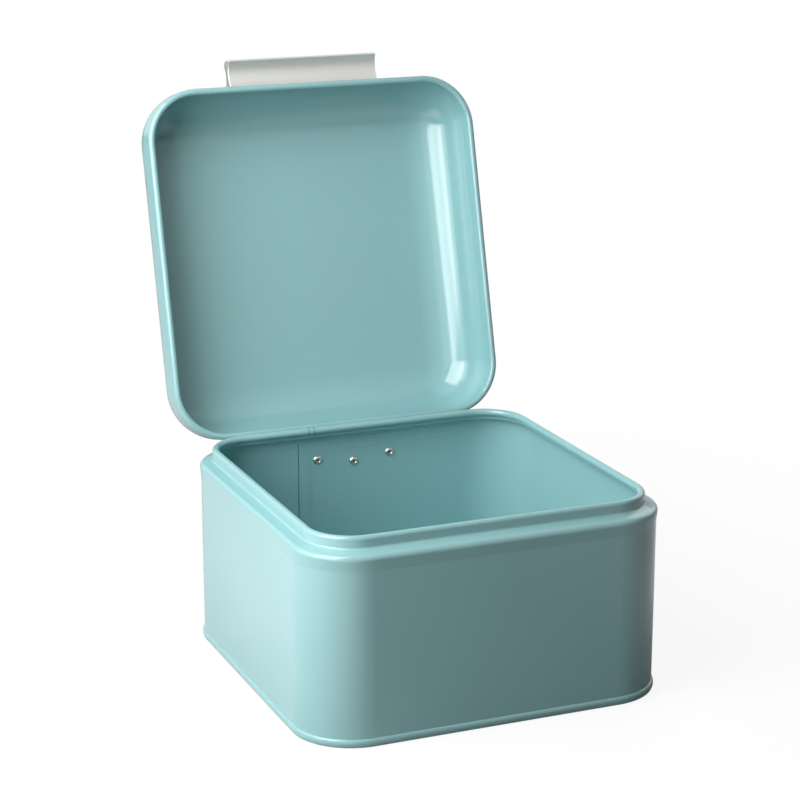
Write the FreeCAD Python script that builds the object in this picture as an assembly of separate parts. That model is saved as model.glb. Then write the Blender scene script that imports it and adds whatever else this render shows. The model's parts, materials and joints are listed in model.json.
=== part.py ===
import FreeCAD, Part
import math
import os

# A square storage tin of painted sheet steel with round corners, a deep hinged lid and a metal grip.
# Millimetres. The origin is the middle of the base on the surface that the tin stands on.
# +Z is up, the front with the grip is -Y and the hinge is at the back, +Y. The lid stands open.

V = FreeCAD.Vector
X_AXIS = V(1, 0, 0)
Z_AXIS = V(0, 0, 1)

# Tin body: one sheet wall with a stepped shoulder, a neck and a rim rolled inward
body_width = 170.0
body_depth = 170.0
body_corner = 26.8
sheet = 0.5
neck_foot_height = 87.7
neck_height = 4.6
neck_inset = 5.3
shoulder_bulge = 0.5
flare_angle = 6.0
flare_radius = 3.0
shoulder_radius = 2.4
ledge_slope = 19.0
neck_bend_radius = 1.0
rim_roll = 1.7
roll_turn = 290.0

# Lap seam of the wall, inside at the back
lap_width = 4.5
lap_ramp = 2.5
lap_step = 0.4
lap_end_gap = 0.5
lap_rivet_gap = 0.45
rim_lap_step = 0.15

# Base: a recessed panel seamed round the foot of the wall
seam_height = 3.3
seam_clearance = 0.05
base_recess = 2.5
base_bend_radius = 0.8
base_flat = 6.0

# Lid: drawn from one sheet, its rim rolled inward, resting close over the ledge when shut
lid_inset = 0.5
lid_corner_ease = 0.8
lid_height = 33.0
lid_roll = 1.55
lid_seat_gap = 0.35
crown_margin = 1.0
lid_least_skirt = 3.0
lid_open_angle = 105.0

# Hinge: two bent sheet leaves round a wire pin
hinge_width = 50.0
hinge_offset = 4.65
hinge_drop = 6.1
leaf = 0.8
leaf_corner = 5.0
leaf_bend = 0.5
leaf_edge_margin = 4.5
leaf_seat_gap = 0.05
web_angle = 50.0
eye_turn = 285.0
pin_radius = 1.2
pin_clearance = 0.05
pin_head_radius = 1.7
pin_head_length = 0.7
pin_end_play = 0.1
lid_knuckle_width = 24.0
knuckle_gap = 0.3
stop_width = 20.0
stop_reach = 4.6
stop_thickness = 0.9
stop_neck = 0.8
stop_gap = 0.05

# Blind rivets, flange on the inside
body_rivet_margin = 6.2
body_rivet_drop = 8.1
body_middle_rivet_drop = 2.5
lid_rivet_margin = 4.7
lid_rivet_height = 14.0
lid_middle_rivet_drop = 4.0
flange_radius = 2.25
flange_edge = 0.3
dome_height = 0.95
dome_shoulder = 0.79
funnel_radius = 1.05
funnel_depth = 0.4
shank_radius = 1.2
shank_clearance = 0.05
mandrel_radius = 0.7
mandrel_clearance = 0.02
mandrel_recess = 0.6
tail_radius = 1.85
tail_length = 1.3
tail_rounding = 0.4
mandrel_head_radius = 1.2
mandrel_head_length = 0.7
flange_seat_gap = 0.12

# Grip: one extruded profile along X, seated on the front of the lid's crown
grip_width = 77.0
grip_reach = 13.7
grip_underside = 6.6
grip_tip_thickness = 7.6
grip_root_thickness = 8.5
grip_finger_hollow = 2.1
grip_top_hollow = 1.7
grip_lower_nose = 0.8
grip_upper_nose = 3.0
grip_root_flat = 0.6
grip_edge = 0.35
bond_thickness = 0.3
bond_clearance = 0.02
bond_margin = 1.0


def run(length):
    """A straight stretch of a bent sheet."""
    return (length, 0.0, 0.0)


def bend(radius, degrees):
    """A bend of a sheet, to the left if degrees is positive, with the radius of the drawn skin."""
    return (0.0, radius, degrees)


def turned(arm, degrees):
    """An arm in the section plane, turned from +X towards +Z."""
    angle = math.radians(degrees)
    x = arm.x * math.cos(angle) - arm.z * math.sin(angle)
    z = arm.x * math.sin(angle) + arm.z * math.cos(angle)
    return V(x, 0, z)


def skin(start, heading, moves, shift):
    """Edges of one skin of a bent sheet, shifted to the left of the path, with its first and last point."""
    edges = []
    point = start
    first = start + turned(V(0, 0, shift), heading)
    last = first
    for length, radius, degrees in moves:
        side = turned(Z_AXIS, heading)
        here = point + side * shift
        if length:
            point = point + turned(X_AXIS, heading) * length
            last = point + side * shift
            edges.append(Part.makeLine(here, last))
        else:
            centre = point + side * math.copysign(radius, degrees)
            last = centre + turned(here - centre, degrees)
            middle = centre + turned(here - centre, degrees / 2)
            edges.append(Part.Arc(here, middle, last).toShape())
            point = centre + turned(point - centre, degrees)
            heading = heading + degrees
    return edges, first, last


def path_end(start, heading, moves):
    """Where a path of runs and bends ends."""
    return skin(start, heading, moves, 0.0)[2]


def bent_strip(start, heading, moves, thickness):
    """Section of a bent sheet. Its second skin lies to the left of the path, or right if negative."""
    near, near_first, near_last = skin(start, heading, moves, 0.0)
    far, far_first, far_last = skin(start, heading, moves, thickness)
    caps = [Part.makeLine(near_first, far_first), Part.makeLine(near_last, far_last)]
    return Part.Face(Part.Wire(Part.__sortEdges__(near + far + caps)))


def round_sweep(section, half_width, half_depth, corner):
    """A section carried round a rectangle with round corners. Its X is measured from the corner's centre."""
    side_x = half_width - corner
    side_y = half_depth - corner
    corners = [V(side_x, -side_y, 0), V(side_x, side_y, 0), V(-side_x, side_y, 0), V(-side_x, -side_y, 0)]
    pieces = []
    for k in range(4):
        face = section.copy()
        face.rotate(V(0, 0, 0), Z_AXIS, 90 * k)
        face.translate(corners[k])
        along = corners[(k + 1) % 4] - corners[k]
        pieces.append(face.extrude(along))
        face.translate(along)
        pieces.append(face.revolve(corners[(k + 1) % 4], Z_AXIS, 90))
    return pieces[0].multiFuse(pieces[1:]).removeSplitter()


def round_plate(half_width, half_depth, corner, low, thickness):
    """A flat plate with round corners."""
    box = Part.makeBox(2 * half_width, 2 * half_depth, thickness, V(-half_width, -half_depth, low))
    upright = [e for e in box.Edges if abs(e.tangentAt(e.FirstParameter).z) > 0.5]
    return box.makeFillet(corner, upright)


def along_x(section, width, degrees):
    """A section turned about Z to face the back (90) or the front (-90), drawn out along X."""
    face = section.copy()
    face.rotate(V(0, 0, 0), Z_AXIS, degrees)
    face.translate(V(-width / 2, 0, 0))
    return face.extrude(V(width, 0, 0))


def placed(shape, point, direction):
    """A shape drawn along +Z, moved to a point and turned to a direction."""
    copy = shape.copy()
    copy.Placement = FreeCAD.Placement(point, FreeCAD.Rotation(Z_AXIS, direction))
    return copy


# Path of the wall's outer skin, upward from its foot, and the runs that follow from it
half_width = body_width / 2
half_depth = body_depth / 2
wall_foot = sheet + seam_clearance
flare_rise = (flare_radius + shoulder_radius) * (1 - math.cos(math.radians(flare_angle)))
flare_run = (shoulder_bulge - flare_rise) / math.sin(math.radians(flare_angle))
ledge_heading = 180.0 - ledge_slope
flare_moves = [
    bend(flare_radius, -flare_angle),
    run(flare_run),
    bend(shoulder_radius, ledge_heading - 90 + flare_angle),
]
neck_bend = bend(neck_bend_radius, 90 - ledge_heading)
ledge_start = path_end(V(0, 0, 0), 90, flare_moves)
no_ledge_end = path_end(ledge_start, ledge_heading, [neck_bend])
ledge_run = (neck_inset + no_ledge_end.x) / math.cos(math.radians(ledge_slope))
neck_start = path_end(ledge_start, ledge_heading, [run(ledge_run), neck_bend])
flare_height = neck_foot_height - neck_start.z
rim_centre_height = neck_foot_height + neck_height - rim_roll
wall_moves = [run(flare_height - wall_foot)] + flare_moves + [
    run(ledge_run),
    neck_bend,
    run(rim_centre_height - neck_foot_height),
    bend(rim_roll, roll_turn),
]

# Lid sizes that follow from the body: the middle plane of its rolled rim, its outline and its crown
lid_half_width = half_width - lid_inset
lid_half_depth = half_depth - lid_inset
lid_corner = body_corner - lid_inset - lid_corner_ease
roll_inset = lid_inset + lid_roll
ledge_tangent = math.tan(math.radians(ledge_slope))
ledge_under_roll = flare_height + ledge_start.z + (roll_inset + ledge_start.x) * ledge_tangent
lid_plane = ledge_under_roll + (lid_roll + lid_seat_gap) / math.cos(math.radians(ledge_slope))
crown_radius = min(lid_corner - crown_margin, lid_height - lid_least_skirt)
skirt_height = lid_height - crown_radius
crown_height = lid_plane + skirt_height
crown_back = lid_half_depth - crown_radius

# Hinge axis behind the shoulder
bore_radius = pin_radius + pin_clearance
knuckle_radius = bore_radius + leaf
axis_depth = half_depth + hinge_offset
axis_height = neck_foot_height - hinge_drop
axis_point = V(0, axis_depth, axis_height)

# Rivet places: sideways offset and height, on the body above its foot, on the lid above its rim
body_rivet_spread = hinge_width / 2 - body_rivet_margin
body_rivet_height = axis_height - body_rivet_drop
lid_rivet_spread = hinge_width / 2 - lid_rivet_margin
body_rivets = {
    "left": (-body_rivet_spread, body_rivet_height),
    "middle": (0.0, body_rivet_height - body_middle_rivet_drop),
    "right": (body_rivet_spread, body_rivet_height),
}
lid_rivets = {
    "left": (-lid_rivet_spread, lid_rivet_height),
    "middle": (0.0, lid_rivet_height - lid_middle_rivet_drop),
    "right": (lid_rivet_spread, lid_rivet_height),
}
shank_hole = shank_radius + shank_clearance
rivet_grip = sheet + leaf
lid_rivet_grip = rivet_grip + flange_seat_gap + leaf_seat_gap

# Left edge of the lap seam, which stays clear of the left rivet
lap_left = -body_rivet_spread - flange_radius - lap_rivet_gap - lap_ramp - lap_width


def opened(shape):
    """A lid piece drawn shut, swung open about the hinge pin."""
    copy = shape.copy()
    copy.rotate(axis_point, X_AXIS, -lid_open_angle)
    return copy


def body_rivet_seat(place):
    """Point on the inside of the back wall under a rivet's flange, and the way the flange faces."""
    offset, height = place
    return V(offset, half_depth - sheet, height), V(0, -1, 0)


def lid_rivet_seat(place):
    """The same on the inside of the shut lid's rear, a little off its hollow surface."""
    offset, height = place
    inner = crown_radius - sheet
    angle = math.asin(max(0.0, height - skirt_height) / inner)
    outward = V(0, math.cos(angle), math.sin(angle))
    centre = V(offset, crown_back, lid_plane + min(height, skirt_height))
    return centre + outward * (inner - flange_seat_gap), outward * -1


def shank_holes(places, seat):
    """Cylinders through sheet and leaf for the shanks."""
    reach = rivet_grip + dome_height + tail_length
    drill = Part.makeCylinder(shank_hole, 2 * reach, V(0, 0, -reach))
    return [placed(drill, *seat(place)) for place in places.values()]


def lid_outside(gap, low, high):
    """Path up the outside of the shut lid's wall and crown, at a gap from it, between two heights."""
    radius = crown_radius + gap
    first = math.degrees(math.asin(max(0.0, low - crown_height) / radius))
    last = math.degrees(math.asin(max(0.0, high - crown_height) / radius))
    start = V(crown_back, 0, min(low, crown_height)) + turned(V(radius, 0, 0), first)
    moves = []
    if low < crown_height:
        moves.append(run(min(high, crown_height) - low))
    if high > crown_height:
        moves.append(bend(radius, last - first))
    return start, 90 + first, moves


def leaf_web(wall_depth):
    """How far from the pin's height a leaf leaves its wall, and the run of its web to the eye."""
    foot = path_end(V(wall_depth, 0, 0), 270, [bend(leaf + leaf_bend, web_angle)])
    heading = 270 + web_angle
    side = turned(Z_AXIS, heading)
    lift = (bore_radius - (foot.x - axis_depth) * side.x) / side.z
    web_run = V(axis_depth - foot.x, 0, -lift).dot(turned(X_AXIS, heading))
    return lift - foot.z, web_run


def leaf_outline(low, high, rounded_low):
    """Block over a leaf's height with two round corners, to trim the leaf's outline."""
    block = Part.makeBox(hinge_width, 2 * body_depth, high - low, V(-hinge_width / 2, 0, low))
    level = low if rounded_low else high
    lengthwise = [e for e in block.Edges if e.BoundBox.YLength > body_depth]
    edges = [e for e in lengthwise if abs(e.BoundBox.ZMax - level) < leaf]
    return block.makeFillet(leaf_corner, edges)


def at_web(shape):
    """A shape drawn with Y along the body leaf's web and Z towards the pin, moved to the hinge axis."""
    copy = shape.copy()
    copy.rotate(V(0, 0, 0), X_AXIS, 90 - web_angle)
    copy.translate(axis_point)
    return copy


def make_body_wall():
    """Wall, shoulder, neck and rim in one sheet, with the lap seam inside and the rivet holes."""
    section = bent_strip(V(body_corner, 0, wall_foot), 90, wall_moves, sheet)
    wall = round_sweep(section, half_width, half_depth, body_corner)
    inner = half_depth - sheet
    lap_low = base_recess + 2 * sheet + lap_end_gap
    lap_outline = Part.makePolygon([
        V(lap_left, inner + sheet / 2, lap_low),
        V(lap_left, inner - lap_step, lap_low),
        V(lap_left + lap_width, inner - lap_step, lap_low),
        V(lap_left + lap_width + lap_ramp, inner, lap_low),
        V(lap_left + lap_width + lap_ramp, inner + sheet / 2, lap_low),
        V(lap_left, inner + sheet / 2, lap_low),
    ])
    lap = Part.Face(lap_outline).extrude(V(0, 0, flare_height - lap_end_gap - lap_low))
    roll_middle = V(lap_left + lap_ramp, half_depth - neck_inset - rim_roll, rim_centre_height)
    sleeve = Part.makeCylinder(rim_roll + rim_lap_step, lap_ramp, roll_middle, X_AXIS)
    hollow = Part.makeCylinder(rim_roll - sheet / 2, lap_ramp, roll_middle, X_AXIS)
    return wall.multiFuse([lap, sleeve.cut(hollow)]).cut(shank_holes(body_rivets, body_rivet_seat))


def make_base_panel():
    """Recessed panel whose edge goes down, under the wall's foot and up outside it."""
    proud = sheet + seam_clearance
    moves = [
        run(seam_height - proud),
        bend(proud, -90),
        run(sheet),
        bend(proud, -90),
        run(base_recess - proud - base_bend_radius),
        bend(base_bend_radius, 90),
        run(base_flat),
    ]
    section = bent_strip(V(body_corner + proud, 0, seam_height), 270, moves, -sheet)
    ring = round_sweep(section, half_width, half_depth, body_corner)
    inset = body_corner - section.BoundBox.XMin - base_flat / 2
    plate = round_plate(half_width - inset, half_depth - inset, body_corner - inset, base_recess, sheet)
    return ring.fuse(plate).removeSplitter()


def make_lid_shell():
    """Flat panel, round crown, short skirt and rolled rim, drawn shut."""
    overlap = crown_margin / 2
    moves = [
        run(overlap),
        bend(crown_radius, -90),
        run(skirt_height),
        bend(lid_roll, -roll_turn),
    ]
    start = V(lid_corner - crown_radius - overlap, 0, lid_plane + lid_height)
    section = bent_strip(start, 0, moves, -sheet)
    ring = round_sweep(section, lid_half_width, lid_half_depth, lid_corner)
    plate = round_plate(lid_half_width - crown_radius, lid_half_depth - crown_radius,
                        lid_corner - crown_radius, lid_plane + lid_height - sheet, sheet)
    shell = ring.fuse(plate).removeSplitter()
    return opened(shell.cut(shank_holes(lid_rivets, lid_rivet_seat)))


def make_body_leaf():
    """Leaf on the back wall, bent out past the shoulder and rolled into an eye on each side of the lid's."""
    leave, web_run = leaf_web(half_depth)
    low = body_rivet_height - body_middle_rivet_drop - leaf_edge_margin
    moves = [
        run(axis_height - leave - low),
        bend(leaf + leaf_bend, -web_angle),
        run(web_run),
        bend(bore_radius, eye_turn),
    ]
    strip = along_x(bent_strip(V(half_depth, 0, low), 90, moves, -leaf), hinge_width, 90)
    trimmed = strip.common(leaf_outline(low, axis_height + 2 * knuckle_radius, True))
    notch_width = lid_knuckle_width + 2 * knuckle_gap
    notch_reach = knuckle_radius + knuckle_gap
    notch = Part.makeBox(notch_width, 3 * notch_reach, 4 * notch_reach,
                         V(-notch_width / 2, -notch_reach, -2 * notch_reach))
    return trimmed.cut([at_web(notch)] + shank_holes(body_rivets, body_rivet_seat))


def make_lid_leaf():
    """Leaf on the lid's rear wall with one eye, and a stop that meets the body leaf's web when open."""
    leave, web_run = leaf_web(lid_half_depth + leaf_seat_gap)
    leave_height = axis_height + leave
    high = lid_plane + lid_rivet_height + leaf_edge_margin
    start, heading, seat_moves = lid_outside(leaf_seat_gap, leave_height, high)
    top = path_end(start, heading, seat_moves)
    crown_turn = sum(degrees for length, radius, degrees in seat_moves)
    down_moves = [(length, radius, -degrees) for length, radius, degrees in reversed(seat_moves)]
    moves = down_moves + [
        bend(leaf + leaf_bend, web_angle),
        run(web_run),
        bend(bore_radius, -eye_turn),
    ]
    strip = along_x(bent_strip(top, 270 + crown_turn, moves, leaf), hinge_width, 90)
    low = axis_height - 2 * knuckle_radius
    plate = strip.common(leaf_outline(low, top.z + leaf, False))
    beside = (hinge_width - lid_knuckle_width) / 2
    cuts = [Part.makeBox(beside, body_depth, leave_height - low, V(x, 0, low))
            for x in (-hinge_width / 2, lid_knuckle_width / 2)]
    near = -knuckle_radius - stop_gap
    far = near - stop_thickness
    inside = -bore_radius - leaf / 2
    side = -stop_width / 2
    stop_outline = Part.makePolygon([
        V(side, -stop_reach, near),
        V(side, -stop_neck, near),
        V(side, -stop_neck, inside),
        V(side, stop_neck, inside),
        V(side, stop_neck, far),
        V(side, -stop_reach, far),
        V(side, -stop_reach, near),
    ])
    stop = at_web(Part.Face(stop_outline).extrude(V(stop_width, 0, 0)))
    return opened(plate.cut(cuts + shank_holes(lid_rivets, lid_rivet_seat))).fuse(stop)


def make_hinge_pin():
    """Wire pin with a peened head at each end."""
    half = hinge_width / 2 + pin_end_play
    pin = Part.makeCylinder(pin_radius, 2 * half, axis_point - X_AXIS * half, X_AXIS)
    right_head = Part.makeCylinder(pin_head_radius, pin_head_length, axis_point + X_AXIS * half, X_AXIS)
    left_head = Part.makeCylinder(pin_head_radius, pin_head_length, axis_point - X_AXIS * half, X_AXIS * -1)
    heads = [head.makeFillet(pin_head_length / 2, [max(head.Edges, key=lambda e: abs(e.BoundBox.Center.x))])
             for head in (right_head, left_head)]
    return pin.multiFuse(heads)


def make_rivet_sleeve(grip):
    """Domed flange with a funnel mouth, shank and set tail, drawn with the flange's seat at Z 0."""
    bore = mandrel_radius + mandrel_clearance
    tail_end = -grip - tail_length
    rim_middle = (flange_radius + funnel_radius) / 2
    corner = tail_rounding * (1 - math.sqrt(0.5))
    edges = [
        Part.makeLine(V(bore, 0, tail_end), V(bore, 0, dome_height - funnel_depth)),
        Part.makeLine(V(bore, 0, dome_height - funnel_depth), V(funnel_radius, 0, dome_height)),
        Part.Arc(V(funnel_radius, 0, dome_height), V(rim_middle, 0, dome_shoulder),
                 V(flange_radius, 0, flange_edge)).toShape(),
        Part.makeLine(V(flange_radius, 0, flange_edge), V(flange_radius, 0, 0)),
        Part.makeLine(V(flange_radius, 0, 0), V(shank_radius, 0, 0)),
        Part.makeLine(V(shank_radius, 0, 0), V(shank_radius, 0, -grip)),
        Part.makeLine(V(shank_radius, 0, -grip), V(tail_radius, 0, -grip)),
        Part.makeLine(V(tail_radius, 0, -grip), V(tail_radius, 0, tail_end + tail_rounding)),
        Part.Arc(V(tail_radius, 0, tail_end + tail_rounding),
                 V(tail_radius - corner, 0, tail_end + corner),
                 V(tail_radius - tail_rounding, 0, tail_end)).toShape(),
        Part.makeLine(V(tail_radius - tail_rounding, 0, tail_end), V(bore, 0, tail_end)),
    ]
    return Part.Face(Part.Wire(edges)).revolve(V(0, 0, 0), Z_AXIS, 360)


def make_mandrel(grip):
    """Broken stub of the rivet's pulling pin, with its head under the tail."""
    tail_end = -grip - tail_length
    stub_top = dome_height - mandrel_recess
    stub = Part.makeCylinder(mandrel_radius, stub_top - tail_end, V(0, 0, tail_end))
    head_end = tail_end - mandrel_head_length
    head = Part.makeCylinder(mandrel_head_radius, mandrel_head_length, V(0, 0, head_end))
    lowest = min(head.Edges, key=lambda e: e.BoundBox.ZMax)
    return stub.fuse(head.makeFillet(mandrel_head_length / 2, [lowest]))


def make_handle():
    """Grip with a finger hollow below, a shallow hollow above and a foot that fits the lid's front."""
    low = lid_plane + grip_underside
    tip_top = low + grip_tip_thickness
    root_top = low + grip_root_thickness
    tip = lid_half_depth + grip_reach
    foot, foot_low, foot_top = skin(*lid_outside(bond_thickness, low, root_top), 0.0)
    under_tip = V(tip - grip_lower_nose, 0, low)
    top_tip = V(tip - grip_upper_nose, 0, tip_top)
    top_root = V(lid_half_depth + grip_root_flat, 0, root_top)
    under_middle = (foot_low + under_tip) * 0.5 + Z_AXIS * grip_finger_hollow
    top_middle = V((top_tip.x + top_root.x) / 2, 0, tip_top - grip_top_hollow)
    slack = 1 - math.sqrt(0.5)
    edges = foot + [
        Part.Arc(foot_low, under_middle, under_tip).toShape(),
        Part.Arc(under_tip, V(tip - grip_lower_nose * slack, 0, low + grip_lower_nose * slack),
                 V(tip, 0, low + grip_lower_nose)).toShape(),
        Part.makeLine(V(tip, 0, low + grip_lower_nose), V(tip, 0, tip_top - grip_upper_nose)),
        Part.Arc(V(tip, 0, tip_top - grip_upper_nose),
                 V(tip - grip_upper_nose * slack, 0, tip_top - grip_upper_nose * slack), top_tip).toShape(),
        Part.Arc(top_tip, top_middle, top_root).toShape(),
        Part.makeLine(top_root, foot_top),
    ]
    bar = along_x(Part.Face(Part.Wire(Part.__sortEdges__(edges))), grip_width, -90)
    ends = [e for e in bar.Edges if e.BoundBox.XLength < grip_edge]
    return opened(bar.makeFillet(grip_edge, ends))


def make_handle_bond():
    """Thin curved layer of adhesive between the lid's front and the grip's foot."""
    low = lid_plane + grip_underside + bond_margin
    high = lid_plane + grip_underside + grip_root_thickness - bond_margin
    start, heading, moves = lid_outside(bond_clearance, low, high)
    section = bent_strip(start, heading, moves, 2 * bond_clearance - bond_thickness)
    return opened(along_x(section, grip_width - 2 * bond_margin, -90))


def make_parts():
    """Every piece by name, with the lid standing open."""
    parts = {
        "body_wall": make_body_wall(),
        "base_panel": make_base_panel(),
        "lid_shell": make_lid_shell(),
        "handle": make_handle(),
        "handle_bond": make_handle_bond(),
        "hinge_body_leaf": make_body_leaf(),
        "hinge_lid_leaf": make_lid_leaf(),
        "hinge_pin": make_hinge_pin(),
    }
    for name, place in body_rivets.items():
        seat = body_rivet_seat(place)
        parts["body_rivet_" + name] = placed(make_rivet_sleeve(rivet_grip), *seat)
        parts["body_mandrel_" + name] = placed(make_mandrel(rivet_grip), *seat)
    for name, place in lid_rivets.items():
        seat = lid_rivet_seat(place)
        parts["lid_rivet_" + name] = opened(placed(make_rivet_sleeve(lid_rivet_grip), *seat))
        parts["lid_mandrel_" + name] = opened(placed(make_mandrel(lid_rivet_grip), *seat))
    return parts


os.makedirs("parts", exist_ok=True)
for node, shape in make_parts().items():
    shape.exportStep("parts/" + node + ".step")
    print(node, shape.ShapeType, len(shape.Solids), shape.isValid(), round(shape.Volume, 1))
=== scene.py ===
# %% [markdown]
# # A hinged storage tin
# The tin comes in as a finished construction: sheet-steel walls, a drawn lid, a hinge with its pin,
# rivets and a metal grip. This lesson gives it its finish, its light and its camera. It starts by loading
# that construction as a frame, in metres.

# %% Load the frame
import json
import math

import bmesh
import bpy
from mathutils import Matrix, Vector


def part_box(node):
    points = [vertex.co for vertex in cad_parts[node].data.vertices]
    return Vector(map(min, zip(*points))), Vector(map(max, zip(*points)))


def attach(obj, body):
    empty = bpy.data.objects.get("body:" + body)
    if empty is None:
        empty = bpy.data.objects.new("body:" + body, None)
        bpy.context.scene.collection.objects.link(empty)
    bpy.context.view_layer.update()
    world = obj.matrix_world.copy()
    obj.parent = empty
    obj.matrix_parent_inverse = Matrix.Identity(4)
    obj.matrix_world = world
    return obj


MM_PER_METRE = 1000

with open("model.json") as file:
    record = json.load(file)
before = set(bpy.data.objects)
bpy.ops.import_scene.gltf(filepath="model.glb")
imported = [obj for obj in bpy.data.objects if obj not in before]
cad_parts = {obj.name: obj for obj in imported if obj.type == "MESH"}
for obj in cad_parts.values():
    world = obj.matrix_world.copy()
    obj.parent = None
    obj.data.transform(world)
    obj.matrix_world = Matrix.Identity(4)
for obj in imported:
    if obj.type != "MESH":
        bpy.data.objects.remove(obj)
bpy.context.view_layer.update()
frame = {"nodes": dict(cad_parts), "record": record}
nodes = frame["nodes"]

# %% [markdown]
# ## Camera
# A camera needs a place, a direction and a lens. The edges of the tin in the photograph fit a camera at
# the front left, a little above it and about a metre away, with a long lens, so upright edges stay almost
# parallel. Azimuth and elevation say where the camera stands as seen from the tin, and two small offsets
# slide its aim sideways and up, which is easier to adjust than a bare position.

# %% Camera
IMAGE_PIXELS = 800
SENSOR = 36.0
FOCAL_PIXELS = 2373.8
CAMERA_AZIMUTH = math.radians(-22.807)
CAMERA_ELEVATION = math.radians(15.739)
CAMERA_ROLL = math.radians(0.114)
CAMERA_DISTANCE = 1.07652
AIM_HEIGHT = 0.090
AIM_RIGHT = -0.010246
AIM_UP = 0.032472


def direction(azimuth, elevation):
    """Unit vector from the tin; azimuth 0 is the front, positive to the right."""
    flat = math.cos(elevation)
    return Vector((math.sin(azimuth) * flat, -math.cos(azimuth) * flat, math.sin(elevation)))


def turned_to(back, right, place):
    """A matrix that looks along -back from a place, with the given right hand."""
    axes = Matrix((right, back.cross(right), back)).transposed()
    return Matrix.Translation(place) @ axes.to_4x4()


def add_camera():
    """The camera of the photograph."""
    back = direction(CAMERA_AZIMUTH, CAMERA_ELEVATION)
    level = Vector((math.cos(CAMERA_AZIMUTH), math.sin(CAMERA_AZIMUTH), 0.0))
    right = Matrix.Rotation(CAMERA_ROLL, 3, back) @ level
    aim = Vector((0.0, 0.0, AIM_HEIGHT)) + right * AIM_RIGHT + back.cross(right) * AIM_UP
    data = bpy.data.cameras.new("camera")
    data.sensor_width = SENSOR
    data.lens = FOCAL_PIXELS / IMAGE_PIXELS * SENSOR
    camera = bpy.data.objects.new("camera", data)
    camera.matrix_world = turned_to(back, right, aim + back * CAMERA_DISTANCE)
    bpy.context.scene.collection.objects.link(camera)
    bpy.context.scene.camera = camera
    return camera


camera = add_camera()
print("camera at", [round(c, 4) for c in camera.matrix_world.translation])
print("lens", round(camera.data.lens, 1), "mm")

# %% [markdown]
# ## Wiring nodes
# The floor, the surroundings and every finish are node trees, and the same few moves come back in each:
# empty a tree, feed a socket, do a sum, carry a value to another range, mix two colours. In the editor
# these nodes are added by hand, which is fine for one material. For a whole tin a few short helpers keep
# each tree readable.

# %% Node helpers
def new_tree(owner):
    """The emptied node tree of a material or a world."""
    owner.use_nodes = True
    owner.node_tree.nodes.clear()
    return owner.node_tree


def feed(tree, socket, value):
    """Links another socket to this one, or sets a plain value."""
    if isinstance(value, bpy.types.NodeSocket):
        tree.links.new(value, socket)
    else:
        socket.default_value = value


def worked_out(tree, operation, *values):
    """The result of a sum on one or two numbers or sockets."""
    node = tree.nodes.new("ShaderNodeMath")
    node.operation = operation
    for socket, value in zip(node.inputs, values):
        feed(tree, socket, value)
    return node.outputs[0]


def ranged(tree, value, low, high, start=0.0, end=1.0, easing="LINEAR"):
    """A value carried from the range start to end, to the range low to high."""
    node = tree.nodes.new("ShaderNodeMapRange")
    node.interpolation_type = easing
    node.inputs["From Min"].default_value = start
    node.inputs["From Max"].default_value = end
    node.inputs["To Min"].default_value = low
    node.inputs["To Max"].default_value = high
    tree.links.new(value, node.inputs["Value"])
    return node.outputs["Result"]


def blended(tree, share, first, second):
    """A colour between two, by a share from 0 to 1."""
    node = tree.nodes.new("ShaderNodeMix")
    node.data_type = "RGBA"
    node.inputs["A"].default_value = first
    node.inputs["B"].default_value = second
    tree.links.new(share, node.inputs["Factor"])
    return node.outputs["Result"]


print("node helpers:", [helper.__name__ for helper in (new_tree, feed, worked_out, ranged, blended)])

# %% [markdown]
# ## White surroundings
# A white sweep can be lit until it is pure white, but then it also throws too much light on the tin.
# Light Path tells what kind of ray meets a surface, so the surroundings can be white for the camera and
# dim for the light that only fills shadows. Reflections see a good share of the white, as gloss and metal
# would in a studio.

# %% Surroundings
WHITE = (1.0, 1.0, 1.0, 1.0)
REFLECTED_WALLS = 0.80
AMBIENT = 0.05


def backdrop_rays(tree, reflected):
    """1 for a ray that looks at the backdrop straight or through something, and a share for a reflection."""
    path = tree.nodes.new("ShaderNodeLightPath")
    mirrored = worked_out(tree, "MULTIPLY", path.outputs["Is Glossy Ray"], reflected)
    seen = worked_out(tree, "MAXIMUM", path.outputs["Is Camera Ray"], mirrored)
    return worked_out(tree, "MAXIMUM", seen, path.outputs["Is Transmission Ray"])


def add_world():
    """White where it is looked at, dim where it only lights the tin."""
    world = bpy.data.worlds.new("studio")
    bpy.context.scene.world = world
    tree = new_tree(world)
    glow = tree.nodes.new("ShaderNodeBackground")
    glow.inputs["Color"].default_value = WHITE
    strength = ranged(tree, backdrop_rays(tree, REFLECTED_WALLS), AMBIENT, 1.0)
    tree.links.new(strength, glow.inputs["Strength"])
    out = tree.nodes.new("ShaderNodeOutputWorld")
    tree.links.new(glow.outputs[0], out.inputs["Surface"])
    return world


world = add_world()
bpy.context.scene.view_settings.view_transform = "Standard"
print("world:", world.name, "ambient", AMBIENT)

# %% [markdown]
# ## Floor
# The floor lights the tin as a grey one would, and the camera sees it as plain white. Near the tin a
# small share of its own shading is left in, so a soft shadow stays, and that share fades out further
# away. In reflections the floor is about as bright as its lamps make it, and a band of it, before and
# behind the tin, stays grey. A photographer gets the same with a dark card laid before a glossy object:
# the front of the tin keeps its deep colour, while its left side mirrors a white floor.

# %% Floor
FLOOR_SIZE = 8.0
FLOOR_GREY = (0.25, 0.25, 0.25, 1.0)
WHITE_SHARE = 0.88
SHADOW_NEAR = 0.12
SHADOW_FAR = 0.50
REFLECTED_SHARE = 0.08
CARD_MIDDLE = 0.035
CARD_INSIDE = 0.05
CARD_OUTSIDE = 0.16


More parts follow.
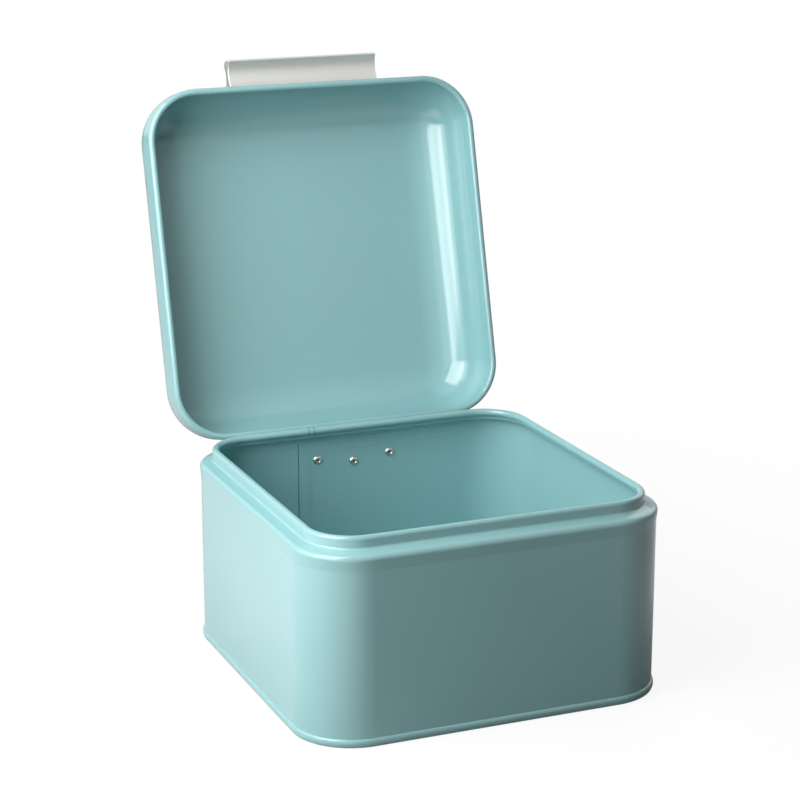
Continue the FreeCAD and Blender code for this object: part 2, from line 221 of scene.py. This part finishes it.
def floor_tone(tree, place):
    """Grey for plain light and, in reflections, on the band of the card; white for every other look."""
    across = tree.nodes.new("ShaderNodeSeparateXYZ")
    tree.links.new(place, across.inputs[0])
    aside = worked_out(tree, "ABSOLUTE", worked_out(tree, "SUBTRACT", across.outputs["X"], CARD_MIDDLE))
    card = ranged(tree, aside, 0.0, 1.0, CARD_INSIDE, CARD_OUTSIDE)
    return blended(tree, backdrop_rays(tree, card), FLOOR_GREY, WHITE)


def floor_glow(tree, place):
    """How much of the floor is plain white: a little less near the tin, so that its shadow shows."""
    away = tree.nodes.new("ShaderNodeVectorMath")
    away.operation = "LENGTH"
    tree.links.new(place, away.inputs[0])
    fade = ranged(tree, away.outputs["Value"], WHITE_SHARE, 1.0, SHADOW_NEAR, SHADOW_FAR, "SMOOTHSTEP")
    return worked_out(tree, "MULTIPLY", backdrop_rays(tree, REFLECTED_SHARE), fade)


def make_floor_white():
    """A matt floor under a white glow that only looking rays see."""
    material = bpy.data.materials.new("floor_white")
    tree = new_tree(material)
    place = tree.nodes.new("ShaderNodeTexCoord").outputs["Object"]
    matt = tree.nodes.new("ShaderNodeBsdfDiffuse")
    tree.links.new(floor_tone(tree, place), matt.inputs["Color"])
    glow = tree.nodes.new("ShaderNodeEmission")
    glow.inputs["Color"].default_value = WHITE
    mix = tree.nodes.new("ShaderNodeMixShader")
    tree.links.new(floor_glow(tree, place), mix.inputs["Fac"])
    tree.links.new(matt.outputs[0], mix.inputs[1])
    tree.links.new(glow.outputs[0], mix.inputs[2])
    out = tree.nodes.new("ShaderNodeOutputMaterial")
    tree.links.new(mix.outputs[0], out.inputs["Surface"])
    return material


def add_floor():
    """A wide square that the tin stands on."""
    mesh = bpy.data.meshes.new("floor")
    shape = bmesh.new()
    bmesh.ops.create_grid(shape, x_segments=1, y_segments=1, size=FLOOR_SIZE / 2)
    shape.to_mesh(mesh)
    shape.free()
    mesh.materials.append(make_floor_white())
    floor = bpy.data.objects.new("floor", mesh)
    bpy.context.scene.collection.objects.link(floor)
    return floor


floor = add_floor()
print("floor", floor.dimensions[:])

# %% [markdown]
# ## Light
# The lamps stand where, by trial, they came closest to the photograph. A tall softbox close by at the
# front left mirrors itself as a bright strip in the round inside of the lid, and a second one lights the
# whole left side. Large fills keep the front, the right side and the back from going dark. The one behind
# is kept out of reflections, or it would whiten the top of the shut lid. Each lamp is given by where it
# stands as seen from the tin, how large it is and how bright its surface is. Brightness times area, times
# pi, gives the power that Blender asks for.

# %% Softboxes
LIGHT_AIM = Vector((0.0, 0.05, 0.13))
SOFTBOXES = {
    "near_softbox": dict(azimuth=-62, elevation=37, distance=0.48, width=0.34, height=0.56, glow=5.7),
    "left_softbox": dict(azimuth=-93, elevation=24, distance=0.60, width=0.50, height=0.45, glow=2.3),
    "front_fill": dict(azimuth=-38, elevation=8, distance=1.20, width=0.70, height=0.70, glow=1.0),
    "right_fill": dict(azimuth=112, elevation=30, distance=1.30, width=0.80, height=0.80, glow=1.2),
    "back_fill": dict(azimuth=150, elevation=30, distance=1.20, width=0.90, height=0.90, glow=2.8),
}
UNMIRRORED = {"back_fill"}


def add_softbox(name, azimuth, elevation, distance, width, height, glow):
    """A rectangular area light that faces the tin."""
    back = direction(math.radians(azimuth), math.radians(elevation))
    right = Vector((math.cos(math.radians(azimuth)), math.sin(math.radians(azimuth)), 0.0))
    data = bpy.data.lights.new(name, "AREA")
    data.shape = "RECTANGLE"
    data.size = width
    data.size_y = height
    data.energy = glow * math.pi * width * height
    lamp = bpy.data.objects.new(name, data)
    lamp.matrix_world = turned_to(back, right, LIGHT_AIM + back * distance)
    lamp.visible_camera = False
    lamp.visible_glossy = name not in UNMIRRORED
    bpy.context.scene.collection.objects.link(lamp)
    return lamp


for softbox, settings in SOFTBOXES.items():
    lamp = add_softbox(softbox, **settings)
    print(softbox, "power", round(lamp.data.energy, 2), "W")

# %% [markdown]
# ## Paint
# The sheet steel is enamelled in mint green, inside and out. Close up such paint is never quite even: it
# has a faint orange peel, its gloss varies a little and its colour drifts by a shade. A Principled shader
# gives the gloss, and noise on Object coordinates gives the drift, so the pattern stays put on the steel
# when the lid moves.

# %% Mint paint
MINT = (0.270, 0.502, 0.516, 1.0)
MINT_DEEP = (0.258, 0.485, 0.499, 1.0)
PAINT_ROUGHNESS = (0.10, 0.15)
PAINT_IOR = 1.6
PEEL_SCALE = 420.0
PEEL_HEIGHT = 0.000004
DRIFT_SCALE = 18.0
SOFT_DETAIL = 2.0
FINE_DETAIL = 3.0


def noise_at(tree, place, scale, detail):
    """Noise at a place, with its size in features per metre."""
    noise = tree.nodes.new("ShaderNodeTexNoise")
    noise.inputs["Scale"].default_value = scale
    noise.inputs["Detail"].default_value = detail
    tree.links.new(place, noise.inputs["Vector"])
    return noise.outputs["Fac"]


def object_noise(tree, scale, detail):
    """Noise that is fixed to the piece."""
    return noise_at(tree, tree.nodes.new("ShaderNodeTexCoord").outputs["Object"], scale, detail)


def bumped(tree, height, distance):
    """A bump of a real height in metres."""
    bump = tree.nodes.new("ShaderNodeBump")
    bump.inputs["Distance"].default_value = distance
    tree.links.new(height, bump.inputs["Height"])
    return bump.outputs["Normal"]


def new_finish(name):
    """A material with a Principled shader, and its node tree."""
    material = bpy.data.materials.new(name)
    tree = new_tree(material)
    shader = tree.nodes.new("ShaderNodeBsdfPrincipled")
    out = tree.nodes.new("ShaderNodeOutputMaterial")
    tree.links.new(shader.outputs[0], out.inputs["Surface"])
    return material, tree, shader


def make_mint_paint():
    """Semi-gloss enamel with faint orange peel."""
    material, tree, shader = new_finish("mint_paint")
    drift = object_noise(tree, DRIFT_SCALE, FINE_DETAIL)
    peel = object_noise(tree, PEEL_SCALE, SOFT_DETAIL)
    tree.links.new(blended(tree, drift, MINT, MINT_DEEP), shader.inputs["Base Color"])
    tree.links.new(ranged(tree, drift, *PAINT_ROUGHNESS), shader.inputs["Roughness"])
    tree.links.new(bumped(tree, peel, PEEL_HEIGHT), shader.inputs["Normal"])
    shader.inputs["IOR"].default_value = PAINT_IOR
    return material


mint_paint = make_mint_paint()
print("paint nodes:", len(mint_paint.node_tree.nodes))

# %% [markdown]
# ## Satin grip
# The grip is an extrusion with a satin finish: a metal with a broad soft gloss and fine lines along its
# length, left by the die and the brush. Anisotropy could fake the lines in the highlight, but stretching
# a noise along X also shows them in the colour and the surface.

# %% Satin metal
SATIN_LIGHT = (0.72, 0.72, 0.69, 1.0)
SATIN_DARK = (0.64, 0.64, 0.61, 1.0)
SATIN_ROUGHNESS = (0.42, 0.52)
LINE_SCALE = 900.0
LINE_STRETCH = (0.02, 1.0, 1.0)
LINE_HEIGHT = 0.000003


def metal_surface(tree, shader, grain, light, dark, roughness, relief):
    """Colour, gloss and relief of a metal, all led by one grain."""
    tree.links.new(blended(tree, grain, light, dark), shader.inputs["Base Color"])
    tree.links.new(ranged(tree, grain, *roughness), shader.inputs["Roughness"])
    tree.links.new(bumped(tree, grain, relief), shader.inputs["Normal"])
    shader.inputs["Metallic"].default_value = 1.0


def make_satin_grip():
    """Satin metal with fine lines along X."""
    material, tree, shader = new_finish("satin_grip")
    place = tree.nodes.new("ShaderNodeTexCoord")
    stretch = tree.nodes.new("ShaderNodeMapping")
    stretch.inputs["Scale"].default_value = LINE_STRETCH
    tree.links.new(place.outputs["Object"], stretch.inputs["Vector"])
    lines = noise_at(tree, stretch.outputs["Vector"], LINE_SCALE, SOFT_DETAIL)
    metal_surface(tree, shader, lines, SATIN_LIGHT, SATIN_DARK, SATIN_ROUGHNESS, LINE_HEIGHT)
    return material


satin_grip = make_satin_grip()
print("satin nodes:", len(satin_grip.node_tree.nodes))

# %% [markdown]
# ## Rivets, stubs and pin
# The rivets are bright aluminium, pressed and a little scuffed. The steel stubs left in them are dark and
# rough where they broke off, and the hinge pin is plain drawn wire. One recipe makes all three: a grain
# whose size suits the piece leads its colour, its gloss and its relief.

# %% Small metals
METALS = {
    "rivet_aluminium": dict(light=(0.66, 0.66, 0.65, 1.0), dark=(0.42, 0.42, 0.41, 1.0),
                            roughness=(0.22, 0.40), grain_scale=1400.0, relief=0.00003),
    "mandrel_steel": dict(light=(0.26, 0.22, 0.18, 1.0), dark=(0.12, 0.10, 0.08, 1.0),
                          roughness=(0.40, 0.65), grain_scale=2600.0, relief=0.00005),
    "pin_steel": dict(light=(0.62, 0.62, 0.63, 1.0), dark=(0.50, 0.50, 0.51, 1.0),
                      roughness=(0.24, 0.36), grain_scale=900.0, relief=0.000006),
}


def make_small_metal(name, light, dark, roughness, grain_scale, relief):
    """A metal whose colour, gloss and surface vary with one grain."""
    material, tree, shader = new_finish(name)
    grain = object_noise(tree, grain_scale, FINE_DETAIL)
    metal_surface(tree, shader, grain, light, dark, roughness, relief)
    return material


small_metals = {name: make_small_metal(name, **recipe) for name, recipe in METALS.items()}
print("small metals:", sorted(small_metals))

# %% [markdown]
# ## Adhesive, and every finish on its node
# A thin layer of cured grey-white adhesive holds the grip. It hardly shows, but a gap seen from the side
# should not look like paint. Then each node of the construction gets the finish that the record names for
# it. Only its material slot changes, never its shape.

# %% Adhesive and finishes
BOND_LIGHT = (0.62, 0.62, 0.60, 1.0)
BOND_DARK = (0.52, 0.52, 0.50, 1.0)
BOND_ROUGHNESS = (0.55, 0.75)
BOND_SCALE = 700.0


def make_dull(name, light, dark, roughness, scale):
    """A matt finish that is mottled between two shades."""
    material, tree, shader = new_finish(name)
    grain = object_noise(tree, scale, SOFT_DETAIL)
    tree.links.new(blended(tree, grain, light, dark), shader.inputs["Base Color"])
    tree.links.new(ranged(tree, grain, *roughness), shader.inputs["Roughness"])
    return material


bond = make_dull("bond", BOND_LIGHT, BOND_DARK, BOND_ROUGHNESS, BOND_SCALE)
finishes = {"mint_paint": mint_paint, "satin_grip": satin_grip, "bond": bond, **small_metals}
for subpart in frame["record"]["subparts"]:
    mesh = nodes[subpart["node"]].data
    mesh.materials.clear()
    mesh.materials.append(finishes[subpart["material_slot"]])
print("finishes:", sorted(finishes))

# %% [markdown]
# ## Closed strips
# The pieces that follow are slender strips: a profile drawn out, or carried round a corner. A curve with
# a bevel could make them, but drawing out a closed row of edges keeps the faces in tidy rows, and filling
# the open ends makes each strip a closed body.

# %% Strip helpers
SHARP_ANGLE = math.radians(50)
MERGE_DISTANCE = 0.000001


def kept(parts, kind):
    """The parts of one kind, vertices or edges, out of a mixed list."""
    return [part for part in parts if isinstance(part, kind)]


def loop(shape, points):
    """A closed row of edges through points, with its vertices."""
    verts = [shape.verts.new(point) for point in points]
    return verts + [shape.edges.new(pair) for pair in zip(verts, verts[1:] + verts[:1])]


def drawn_out(shape, row, vector):
    """The row's copy at the far end after it is drawn out along a vector."""
    drawn = bmesh.ops.extrude_edge_only(shape, edges=kept(row, bmesh.types.BMEdge))["geom"]
    verts = kept(drawn, bmesh.types.BMVert)
    bmesh.ops.translate(shape, verts=verts, vec=vector)
    return verts + kept(drawn, bmesh.types.BMEdge)


def carried_round(shape, row, centre, axis, angle, steps):
    """The row's copy at the far end after it is spun about an axis."""
    return bmesh.ops.spin(shape, geom=row, cent=centre, axis=axis, dvec=(0.0, 0.0, 0.0), angle=angle,
                          steps=steps, use_duplicate=False)["geom_last"]


def finished(name, shape, material):
    """A closed mesh object from a bmesh, smooth but for its sharp edges, with its faces turned outwards."""
    bmesh.ops.remove_doubles(shape, verts=shape.verts, dist=MERGE_DISTANCE)
    bmesh.ops.holes_fill(shape, edges=[edge for edge in shape.edges if edge.is_boundary])
    bmesh.ops.recalc_face_normals(shape, faces=shape.faces)
    for face in shape.faces:
        face.smooth = True
    for edge in shape.edges:
        edge.smooth = edge.calc_face_angle(0.0) < SHARP_ANGLE
    mesh = bpy.data.meshes.new(name)
    shape.to_mesh(mesh)
    shape.free()
    mesh.materials.append(material)
    piece = bpy.data.objects.new(name, mesh)
    bpy.context.scene.collection.objects.link(piece)
    return piece


print("strip helpers:", [helper.__name__ for helper in (kept, loop, drawn_out, carried_round, finished)])

# %% [markdown]
# ## Foot bead
# Round its foot the tin has a bead where the base is rolled over the wall. The construction has this seam
# as a plain folded strip, and the bead rounds it, so that it catches the light along its top. One
# half-oval profile is drawn out along each side and spun round each corner, in one closed ring.

# %% Foot bead
BODY_HALF = 0.085
BODY_CORNER = 0.0268
BEAD_REACH = 0.0009
BEAD_MIDDLE = 0.00195
BEAD_RISE = 0.0018
BEAD_FIRST = -80
BEAD_LAST = 90
BEAD_STEP = 17
CORNERS = 4
CORNER_STEPS = 14
QUARTER_TURN = math.pi / 2
LEFT_CORNER = Vector((-1.0, -1.0, 0.0))
UPRIGHT = (0.0, 0.0, 1.0)


def add_foot_bead():
    """A half-oval bead all round the foot of the body."""
    shape = bmesh.new()
    angles = [math.radians(a) for a in range(BEAD_FIRST, BEAD_LAST + 1, BEAD_STEP)]
    row = loop(shape, [(BODY_CORNER - BODY_HALF,
                        -BODY_HALF - BEAD_REACH * math.cos(a),
                        BEAD_MIDDLE + BEAD_RISE * math.sin(a)) for a in angles])
    along = Vector((2 * (BODY_HALF - BODY_CORNER), 0.0, 0.0))
    centre = LEFT_CORNER * (BODY_HALF - BODY_CORNER)
    for corner in range(CORNERS):
        row = drawn_out(shape, row, along)
        centre = centre + along
        row = carried_round(shape, row, centre, UPRIGHT, QUARTER_TURN, CORNER_STEPS)
        along = Matrix.Rotation(QUARTER_TURN, 3, "Z") @ along
    return finished("foot_bead", shape, mint_paint)


foot_bead = add_foot_bead()
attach(foot_bead, "tin")
print("foot bead:", len(foot_bead.data.polygons), "faces")
print("its size in mm:", [round(v * MM_PER_METRE, 1) for v in foot_bead.dimensions])

# %% [markdown]
# ## Painted shade along the lap seam
# The wall is one sheet whose ends lap inside the back. The fine gap along the edge of the upper sheet
# lies in shade, and that shade is painted here as a thin dark line. A dark stripe in the paint's nodes
# would do from the front, but a slender half-round fillet of a deeper, duller paint also stays in the
# mesh. It is drawn straight up the wall, then leans back with the wall's flare. It finds its place from
# the left rivet, which the lap runs beside.

# %% Lap crevice
# Painted shade: the dark, dull colours of the seam's line stand in for the shade in its fine gap.
CREVICE_SHADE = (0.075, 0.165, 0.175, 1.0)
CREVICE_SHADE_DEEP = (0.055, 0.125, 0.135, 1.0)
CREVICE_ROUGHNESS = (0.5, 0.7)
CREVICE_RADIUS = 0.00024
CREVICE_RELIEF = 0.00012
CREVICE_FOOT = 0.0042
CREVICE_BEND = 0.0784
CREVICE_TOP = 0.0822
CREVICE_STEP = 30
HALF_ROUND = 180
WALL_FLARE = math.radians(6)
LAP_SPAN = 0.00745
RIVET_DOME = 0.00095

# Painted shade: one dark paint for the seam's line and for the marks across the rim.
crevice_shade_paint = make_dull("crevice_shade_paint", CREVICE_SHADE, CREVICE_SHADE_DEEP, CREVICE_ROUGHNESS, PEEL_SCALE)
rivet_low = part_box("body_rivet_left")[0]
lap_edge = rivet_low[0] - LAP_SPAN
inner_wall = rivet_low[1] + RIVET_DOME


def add_lap_shade_line():
    """The line of painted shade up the back wall beside the lap's edge, leaning back with the flare at its
    top.
    """
    shape = bmesh.new()
    angles = [math.radians(a) for a in range(0, HALF_ROUND + 1, CREVICE_STEP)]
    row = loop(shape, [(lap_edge - CREVICE_RADIUS * (1 + math.cos(a)),
                        inner_wall - CREVICE_RELIEF * math.sin(a),
                        CREVICE_FOOT) for a in angles])
    row = drawn_out(shape, row, (0.0, 0.0, CREVICE_BEND - CREVICE_FOOT))
    flared = CREVICE_TOP - CREVICE_BEND
    drawn_out(shape, row, (0.0, flared * math.tan(WALL_FLARE), flared))
    return finished("lap_shade_line", shape, crevice_shade_paint)


lap_shade_line = add_lap_shade_line()
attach(lap_shade_line, "tin")
print("lap crevice:", len(lap_shade_line.data.polygons), "faces")
print("edge of the lap at", round(lap_edge * MM_PER_METRE, 2), "mm")

# %% [markdown]
# ## Painted shade across the rim
# The lap shows again as two short lines across the rolled rim: painted shade, in the dark paint of the
# seam's line, where the seam's notches lie in shade. Each is part of a small ring: a circle set on the
# outside of the roll and spun about the roll's middle.

# %% Rim marks
ROLL_CENTRE = (0.0780, 0.0906)
ROLL_OUTSIDE = 0.00185
RIM_MARKS = (0.0025, 0.0050)
RIM_MARK_RADIUS = 0.00016
RIM_MARK_SIDES = 8
RIM_MARK_FIRST = math.radians(-30)
RIM_MARK_TURN = math.radians(215)
RIM_MARK_STEPS = 24
SIDEWAYS = (1.0, 0.0, 0.0)


def add_rim_mark(name, offset):
    """One short line of painted shade across the rolled rim."""
    shape = bmesh.new()
    middle = Vector((lap_edge + offset, *ROLL_CENTRE))
    ring = bmesh.ops.create_circle(shape, segments=RIM_MARK_SIDES, radius=RIM_MARK_RADIUS)["verts"]
    bmesh.ops.translate(shape, verts=ring, vec=middle - Vector((0.0, ROLL_OUTSIDE, 0.0)))
    bmesh.ops.rotate(shape, verts=ring, cent=middle, matrix=Matrix.Rotation(-RIM_MARK_FIRST, 3, "X"))
    carried_round(shape, list(shape.edges), middle, SIDEWAYS, -RIM_MARK_TURN, RIM_MARK_STEPS)
    # Painted shade: the mark takes the seam's dark paint.
    return finished(name, shape, crevice_shade_paint)


rim_marks = [add_rim_mark("rim_mark_%d" % (k + 1), offset) for k, offset in enumerate(RIM_MARKS)]
for rim_mark in rim_marks:
    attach(rim_mark, "tin")
print("rim marks:", [(mark.name, len(mark.data.polygons)) for mark in rim_marks])
